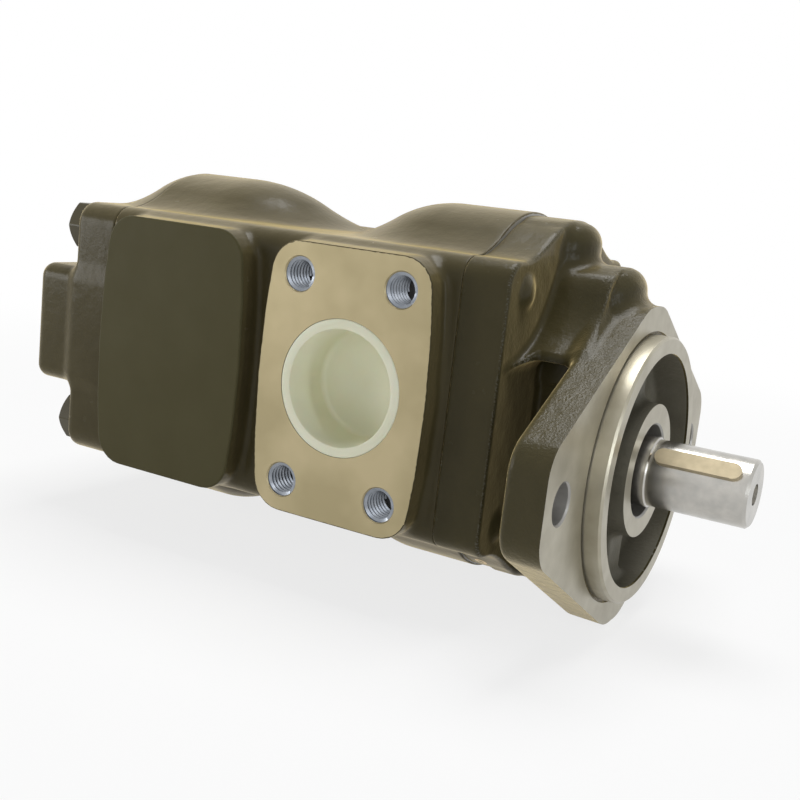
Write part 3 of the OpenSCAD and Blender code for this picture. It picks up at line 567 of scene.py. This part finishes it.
key_steel = material("drawn_key", (0.46, 0.39, 0.26), 0.4, metal=0.7, tone_size=4, grain=0.01,
                     grain_size=0.4)
bright_steel = material("bright_steel", (0.55, 0.55, 0.54), 0.28, metal=1.0, tone_size=4, grain=0.004,
                        grain_size=0.3)
thread_steel = material("thread_steel", (0.22, 0.24, 0.27), 0.3, metal=0.9, second=(0.30, 0.32, 0.35),
                        tone_size=3, grain=0.01, grain_size=0.4)
dark_steel = material("dark_steel", (0.10, 0.10, 0.10), 0.4, metal=0.7, tone_size=4, grain=0.01,
                      grain_size=0.4)
gear_steel = material("gear_steel", (0.42, 0.42, 0.41), 0.32, metal=1.0, tone_size=6, grain=0.006,
                      grain_size=0.4)
bronze = material("bearing_bronze", (0.50, 0.33, 0.14), 0.36, metal=0.9, tone_size=5, grain=0.008,
                  grain_size=0.5)
brass = material("plug_brass", (0.62, 0.42, 0.14), 0.3, metal=0.9, tone_size=2, grain=0.01, grain_size=0.3)
nitrile = material("nitrile", (0.018, 0.018, 0.018), 0.6, tone_size=4, grain=0.01, grain_size=0.3)
bolt_paint = material("bolt_paint", PAINT, 0.34, second=PAINT_LIGHT, grain=0.03, grain_size=1.0,
                      coat=0.1, spec=0.2)
cream = material("cream_plastic", (0.81, 0.80, 0.60), 0.42, second=(0.84, 0.83, 0.65), tone_size=20,
                 grain=0.01, grain_size=0.8)
glow = cream.node_tree.nodes["Principled BSDF"].inputs
glow["Subsurface Weight"].default_value = 0.12
glow["Subsurface Scale"].default_value = 0.004


# Castings

def taps(x, pitch):
    """Places (x, z) of the four tapped holes round a port."""
    return [(x + sx * pitch[0] / 2, MID_Z + sz * pitch[1] / 2) for sx, sz in product((-1, 1), repeat=2)]


def port_cutters(x, side, radius, pitch, tap_r):
    """Port and tapped holes of a pad, each with a small chamfer at its mouth."""
    top, axis = PAD_Y + 0.2, AXES[side]
    holes = [bar(radius, radius + PORT_MOUTH, PAD_Y - PORT_DEPTH, top, axis, (x, 0, MID_Z), 160, 0.35)]
    for tap_x, tap_z in taps(x, pitch):
        at = (tap_x, 0, tap_z)
        holes.append(bar(tap_r, tap_r + TAP_MOUTH, PAD_Y - TAP_DEPTH, top, axis, at, 96, 0.8))
    return holes


def make_centre():
    obj = surface("centre_casting", centre_body, (-218, -72, -56), (-49, 72, 94), 1.15)
    ends = [block((SEAM_F, -80, -80), (0, 80, 120)), block((-260, -80, -80), (SEAM_R, 80, 120))]
    faces = [block((x - 39, -80, -40), (x + 39, -PAD_Y, 90)) for x in (INLET_X, BLANK_X)]
    faces += [block((x - 30, PAD_Y, -40), (x + 30, 80, 90)) for x in OUTLET_XS]
    combine(obj, ends + faces, "DIFFERENCE")
    ease(obj, 0, SEAM_F, SEAM_EASE, 0.5)
    ease(obj, 0, SEAM_R, SEAM_EASE, 0.5)
    ease(obj, 1, -PAD_Y, 0.7, 0.2, lambda p: p.x < BETWEEN_PADS)
    ease(obj, 1, -PAD_Y, 0.35, 0.6, lambda p: p.x > BETWEEN_PADS)
    ease(obj, 1, PAD_Y, 0.35, 0.6)
    combine(obj, hollows("centre_body", [((-215, -52, -31), (-51, 52, 71))]), "DIFFERENCE")
    for x, side, r, pitch, tap_r, _ in PORTS.values():
        combine(obj, port_cutters(x, side, r, pitch, tap_r), "DIFFERENCE")
    shade(obj)
    c = centres(obj)
    painted, machined, blank, bare = range(4)
    slots = np.full(len(c), painted)
    flat = np.abs(np.abs(c[:, 1]) - PAD_Y) < 0.03
    slots[flat] = machined
    slots[(c[:, 1] < -PAD_Y + 0.8) & (c[:, 0] < BETWEEN_PADS)] = blank
    inner = (np.abs(c[:, 1]) < 52) & (np.abs(c[:, 2] - MID_Z) < 51) & (c[:, 0] > SEAM_R - 0.1)
    slots[inner & (np.hypot(c[:, 1], c[:, 2] - MID_Z) < 50)] = bare
    for x, side, r, pitch, tap_r, _ in PORTS.values():
        height = side * c[:, 1]
        for hx, hz, hr in [(x, MID_Z, r)] + [(*place, tap_r) for place in taps(x, pitch)]:
            inside = (np.hypot(c[:, 0] - hx, c[:, 2] - hz) < hr + 0.9) & (height > 40)
            slots[inside & (height < PAD_Y - 0.03)] = machined
            slots[inside & (height < PAD_Y - 0.62)] = bare
    paint_faces(obj, [paint_body, machined_pad, paint_pad, bored], slots)
    keep_flat(obj, flat)
    return obj


def make_rear():
    obj = surface("rear_casting", rear_cover, (-260, -61, -56), (-211, 61, 94), 1.15)
    combine(obj, [block((SEAM_R, -80, -80), (-200, 80, 120))], "DIFFERENCE")
    ease(obj, 0, SEAM_R, SEAM_EASE, 0.5)
    combine(obj, hollows("rear_cover", [((-233, -52, -31), (-213, 52, 71))]), "DIFFERENCE")
    for by, bz in BOLTS:
        hole = bar(BOLT_HOLE_R, BOLT_HOLE_R, REAR_FACE - 4.5, REAR_FACE + 5.5, "X", (0, by, bz), 64)
        combine(obj, [hole], "DIFFERENCE")
    shade(obj)
    paint_faces(obj, [paint_body, bored], centres(obj)[:, 0] > SEAM_R - 0.02)
    return obj


def make_front():
    obj = surface("front_casting", front_cover, (-56, -91, -66), (10, 91, 92), 0.9)
    face = turned("cutter", [(PILOT_R + 1.2, 0), (PILOT_R + 1.2, -0.6), (PILOT_R, -0.6),
                             (PILOT_R, PILOT_H - 0.8),
                             (PILOT_R - 0.8, PILOT_H), (BOSS_R + 1.5, PILOT_H),
                             (BOSS_R + 1.5, BOSS_H), (0, BOSS_H), (0, 20), (140, 20), (140, 0)], 192)
    combine(obj, [block((-80, -95, -80), (SEAM_F, 95, 120)), face], "DIFFERENCE")
    ease(obj, 0, SEAM_F, SEAM_EASE, 0.5)
    zones = [((-54, -53, -31), (-37, 53, 71)), ((-38, -17.4, -17.4), (-24, 17.4, 58))]
    combine(obj, hollows("front_cover", zones), "DIFFERENCE")
    seal = turned("cutter", [(0, -12), (SHAFT_HOLE_R, -12), (SHAFT_HOLE_R, -10.5),
                             (SEAL_BORE_R, -10.5), (SEAL_BORE_R, -2.5), (RING_GROOVE_R, -2.5),
                             (RING_GROOVE_R, -1.1), (SEAL_BORE_R, -1.1), (SEAL_BORE_R, BOSS_H - 0.6),
                             (SEAL_BORE_R + 0.7, BOSS_H + 0.1), (SEAL_BORE_R + 0.7, 12), (0, 12)], 128)
    combine(obj, [seal, bar(SHAFT_HOLE_R, SHAFT_HOLE_R, -30, -11)], "DIFFERENCE")
    for side in (-1, 1):
        combine(obj, [bar(FLANGE_HOLE_R, FLANGE_HOLE_R + 0.7, -FLANGE_T - 3, 0.2, "X",
                          (0, side * FLANGE_HOLE_Y, 0), 96, 0.9)], "DIFFERENCE")
    plug = bar(BLEED_R, BLEED_R, 47.5, 60, n=48)
    plug.data.transform(Matrix.Translation((BLEED_X * MM, 0, 0))
                        @ Matrix.Rotation(math.radians(BLEED_TURN), 4, "X")
                        @ Matrix.Rotation(PI / 2, 4, "Y"))
    combine(obj, [plug], "DIFFERENCE")
    shade(obj)
    c = centres(obj)
    r = np.hypot(c[:, 1], c[:, 2])
    painted, machined, recess, bare, plate = range(5)
    slots = np.full(len(c), painted)
    slots[(r < RECESS_R + 0.6) & (r > BOSS_R - 0.4) & (c[:, 0] > -10) & (c[:, 0] < 6)] = recess
    faces = (np.abs(c[:, 0]) < 0.03) & (r > 49)
    ring = (c[:, 0] > 0.02) & (r > RECESS_R + 0.7)
    boss = (np.abs(c[:, 0] - BOSS_H) < 0.03) & (r < BOSS_R + 1)
    slots[faces | ring | boss | (c[:, 0] > PILOT_H - 0.05)] = machined
    slots[(r < SEAL_BORE_R + 1) & (c[:, 0] < BOSS_H - 0.05)] = bare
    slots[np.hypot(np.abs(c[:, 1]) - FLANGE_HOLE_Y, c[:, 2]) < FLANGE_HOLE_R + 0.65] = bare
    slots[c[:, 0] < SEAM_F + 0.02] = bare
    slots[(slots == painted) & (c[:, 0] > -FLANGE_T - 2)] = plate
    paint_faces(obj, [paint_front, machined_flange, lit_recess_paint, bored, paint_flange], slots)
    keep_flat(obj, faces | boss)
    return obj


centre = make_centre()
rear = make_rear()
front = make_front()
for piece, node, slot in ((centre, "centre_body", "casting_centre"), (rear, "rear_cover", "casting_rear"),
                          (front, "front_cover", "casting_front")):
    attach(piece, "housing")
    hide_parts(node)

# Threads of the tapped holes


def thread(name, major, pitch, length, axis, at, mouth=TAP_MOUTH, n=72):
    """Threaded sleeve of a tapped hole: its mouth is at the pad face and it ends length below."""
    root = major - 0.05
    crest = root - 0.54 * pitch
    stations = (0, 0.13, 0.45, 0.7)
    turns = int(length / pitch) + 3
    bm = bmesh.new()
    columns = []
    for k in range(n + 1):
        column = []
        for j in range(4 * turns):
            at_depth = (j // 4 - 1 + stations[j % 4] + k / n) * pitch
            inside = 0.01 < at_depth < length - 0.01
            r = crest if inside and j % 4 < 2 else root
            t = PAD_Y - mouth - min(max(at_depth, 0), length)
            a = 2 * PI * k / n
            column.append(bm.verts.new((t * MM, r * MM * math.cos(a), r * MM * math.sin(a))))
        columns.append(column)
    for a, b in zip(columns, columns[1:]):
        for j in range(4 * turns - 1):
            bm.faces.new((a[j], a[j + 1], b[j + 1], b[j]))
    rims = [[bm.verts.new((t * MM, major * MM * c, major * MM * s)) for c, s in circle(n)]
            for t in (PAD_Y - mouth - length, PAD_Y - mouth)]
    ends = [[columns[k][j] for k in range(n)] for j in (-1, 0)]
    for a, b in ((ends[0], rims[0]), (rims[0], rims[1]), (rims[1], ends[1])):
        for k in range(n):
            bm.faces.new((a[k], a[(k + 1) % n], b[(k + 1) % n], b[k]))
    bmesh.ops.remove_doubles(bm, verts=bm.verts, dist=2e-6)
    bmesh.ops.dissolve_degenerate(bm, edges=bm.edges, dist=1e-6)
    bmesh.ops.recalc_face_normals(bm, faces=bm.faces)
    me = bpy.data.meshes.new(name)
    bm.to_mesh(me)
    bm.free()
    turn = Matrix.Rotation(PI / 2 if axis == "Y" else -PI / 2, 4, "Z")
    me.transform(Matrix.Translation([c * MM for c in at]) @ turn)
    obj = add(name, me)
    shade(obj, 60)
    me.materials.append(thread_steel)
    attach(obj, "housing")
    return obj


for label, (x, side, _, pitch, tap_r, lead) in PORTS.items():
    for number, (tap_x, tap_z) in enumerate(taps(x, pitch), 1):
        thread(f"{label}_thread_{number}", tap_r, lead, TAP_DEPTH - 1.2, AXES[side], (tap_x, 0, tap_z))

# Plugs


def cup(name, node, body, x, axis, r, depth, wall):
    """Push-in plug: a cup with a flat rim, a tapering wall and a hollow floor with a round corner."""
    top = PAD_Y - 0.05
    inner = r - wall
    low, corner, foot = top - depth + 3.0, 0.09 * r, inner - 0.045 * depth
    profile = [(0, top - depth), (r - 1.5, top - depth), (r - 0.3, top - depth + 2), (r, top - 3),
               (r, top - 0.45), (r - 0.12, top - 0.15), (r - 0.45, top), (inner + 0.6, top),
               (inner + 0.2, top - 0.12), (inner, top - 0.5)]
    for k in range(9):
        a = PI / 2 * k / 8
        profile.append((foot - corner + corner * math.cos(a), low + corner - corner * math.sin(a)))
    profile += [(foot * 0.5, low - 0.15), (0, low - 0.3)]
    obj = turned(name, profile, 128, axis, (x, 0, MID_Z))
    shade(obj, 35)
    obj.data.materials.append(cream)
    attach(obj, body)
    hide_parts(node)


cup("inlet_cup", "inlet_plug", "inlet_cap", INLET_X, "-Y", INLET_R - 0.02, 23.5, 3.8)
for label, x in zip(("front_outlet", "rear_outlet"), OUTLET_XS):
    cup(label + "_cup", label + "_plug", label + "_cap", x, "Y", OUTLET_R - 0.02, 13.5, 2.4)

# Carried-over CAD nodes

FINISH = {
    "through_bolts": bolt_paint, "bolt_washers": bolt_paint, "dowel_pins": bright_steel,
    "front_section_seal": nitrile, "rear_section_seal": nitrile, "drive_shaft": shaft_steel,
    "shaft_key": key_steel, "drive_coupling": dark_steel, "rear_drive_gear": gear_steel,
    "front_idler_gear": gear_steel, "rear_idler_gear": gear_steel, "front_cover_bushes": bronze,
    "centre_front_bushes": bronze, "centre_rear_bushes": bronze, "rear_cover_bushes": bronze,
    "front_outer_plate": bronze, "front_inner_plate": bronze, "rear_inner_plate": bronze,
    "rear_outer_plate": bronze, "front_plate_seals": nitrile, "rear_plate_seals": nitrile,
    "shaft_seal_case": dark_steel, "shaft_seal_lip": nitrile, "seal_garter_spring": bright_steel,
    "seal_retaining_ring": dark_steel, "bleed_plug": brass}
for node, finish in FINISH.items():
    me = frame["nodes"][node].data
    me.materials.clear()
    me.materials.append(finish)

# Floor, light and camera


def seen_directly(nodes, links):
    """Socket that is 1 for camera, glossy and transmission rays, and 0 for the light on the object."""
    path = nodes.new("ShaderNodeLightPath")
    first, both = nodes.new("ShaderNodeMath"), nodes.new("ShaderNodeMath")
    first.operation = both.operation = "MAXIMUM"
    links.new(path.outputs["Is Camera Ray"], first.inputs[0])
    links.new(path.outputs["Is Transmission Ray"], first.inputs[1])
    links.new(first.outputs[0], both.inputs[0])
    links.new(path.outputs["Is Glossy Ray"], both.inputs[1])
    return both.outputs[0]


def floor():
    bpy.ops.mesh.primitive_plane_add(size=40, location=(-0.1, 0, FLOOR_Z * MM))
    obj = bpy.context.object
    obj.name = "studio_floor"
    m = bpy.data.materials.new("studio_floor")
    m.use_nodes = True
    nodes, links = m.node_tree.nodes, m.node_tree.links
    bsdf = nodes["Principled BSDF"]
    bsdf.inputs["Base Color"].default_value = (0.9, 0.9, 0.9, 1)
    bsdf.inputs["Roughness"].default_value = 0.9
    bsdf.inputs["Specular IOR Level"].default_value = 0.1
    glow = nodes.new("ShaderNodeEmission")
    # White grows with the distance from the object, so the floor has no visible horizon
    coord, reach = nodes.new("ShaderNodeTexCoord"), nodes.new("ShaderNodeVectorMath")
    reach.operation = "LENGTH"
    links.new(coord.outputs["Object"], reach.inputs[0])
    span = nodes.new("ShaderNodeMapRange")
    span.interpolation_type = "SMOOTHSTEP"
    span.inputs["From Min"].default_value, span.inputs["From Max"].default_value = 0.2, 0.8
    span.inputs["To Min"].default_value, span.inputs["To Max"].default_value = 0.78, 1.0
    links.new(reach.outputs["Value"], span.inputs["Value"])
    share = nodes.new("ShaderNodeMath")
    share.operation = "MULTIPLY"
    links.new(span.outputs["Result"], share.inputs[1])
    links.new(seen_directly(nodes, links), share.inputs[0])
    mix = nodes.new("ShaderNodeMixShader")
    links.new(share.outputs[0], mix.inputs["Fac"])
    links.new(bsdf.outputs[0], mix.inputs[1])
    links.new(glow.outputs[0], mix.inputs[2])
    links.new(mix.outputs[0], nodes["Material Output"].inputs["Surface"])
    obj.data.materials.append(m)


def world():
    w = bpy.data.worlds.new("studio")
    bpy.context.scene.world = w
    w.use_nodes = True
    nodes, links = w.node_tree.nodes, w.node_tree.links
    back = nodes["Background"]
    back.inputs["Color"].default_value = (0.86, 0.88, 0.9, 1)
    back.inputs["Strength"].default_value = 0.15
    white = nodes.new("ShaderNodeBackground")
    white.inputs["Color"].default_value = (1, 1, 1, 1)
    white.inputs["Strength"].default_value = 1.0
    mix = nodes.new("ShaderNodeMixShader")
    links.new(seen_directly(nodes, links), mix.inputs["Fac"])
    links.new(back.outputs[0], mix.inputs[1])
    links.new(white.outputs[0], mix.inputs[2])
    links.new(mix.outputs[0], nodes["World Output"].inputs["Surface"])


def lamp(name, at, size, power, color=(1, 1, 1), aim=(-0.1, 0, 0.01)):
    data = bpy.data.lights.new(name, "AREA")
    data.shape = "RECTANGLE"
    data.size, data.size_y = size
    data.energy = power
    data.color = color
    obj = bpy.data.objects.new(name, data)
    bpy.context.scene.collection.objects.link(obj)
    obj.location = at
    way = Vector(aim) - Vector(at)
    obj.rotation_mode = "QUATERNION"
    obj.rotation_quaternion = way.to_track_quat("-Z", "Y")


def camera():
    """Camera fitted to the photograph: its place, turn, tilt and roll."""
    az, el, roll = (math.radians(v) for v in (28.862, 10.817, 6.324))
    right = np.array([math.cos(az), math.sin(az), 0])
    back = np.array([math.sin(az) * math.cos(el), -math.cos(az) * math.cos(el), math.sin(el)])
    rows = np.stack([right, np.cross(back, right), back])
    spin = np.array([[math.cos(roll), math.sin(roll), 0], [-math.sin(roll), math.cos(roll), 0], [0, 0, 1]])
    rows = spin @ rows
    target, offset = np.array([-100.0, 0, 10.0]), np.array([3.23, 2.89, -470.85])
    place = target - rows.T @ offset
    focal_px, frame_px = 1128.19, 800
    data = bpy.data.cameras.new("camera")
    data.sensor_width = 36
    data.lens = 36 * focal_px / frame_px
    data.clip_start, data.clip_end = 0.01, 20
    obj = bpy.data.objects.new("camera", data)
    bpy.context.scene.collection.objects.link(obj)
    m = np.eye(4)
    m[:3, :3] = rows.T
    m[:3, 3] = place * MM
    obj.matrix_world = Matrix(m.tolist())
    bpy.context.scene.camera = obj


floor()
world()
lamp("key", (-0.1, 0.2, 1.1), (0.7, 0.7), 11)
lamp("fill", (-0.8, -0.5, 0.14), (0.32, 0.32), 1.9)
lamp("front", (0.3, -1.4, 0.5), (0.6, 0.6), 2.2, (0.95, 0.97, 1))
lamp("side", (1.1, -0.4, 0.3), (0.08, 0.6), 2.0, (0.88, 0.94, 1))
camera()
bpy.context.scene.view_settings.view_transform = "Standard"
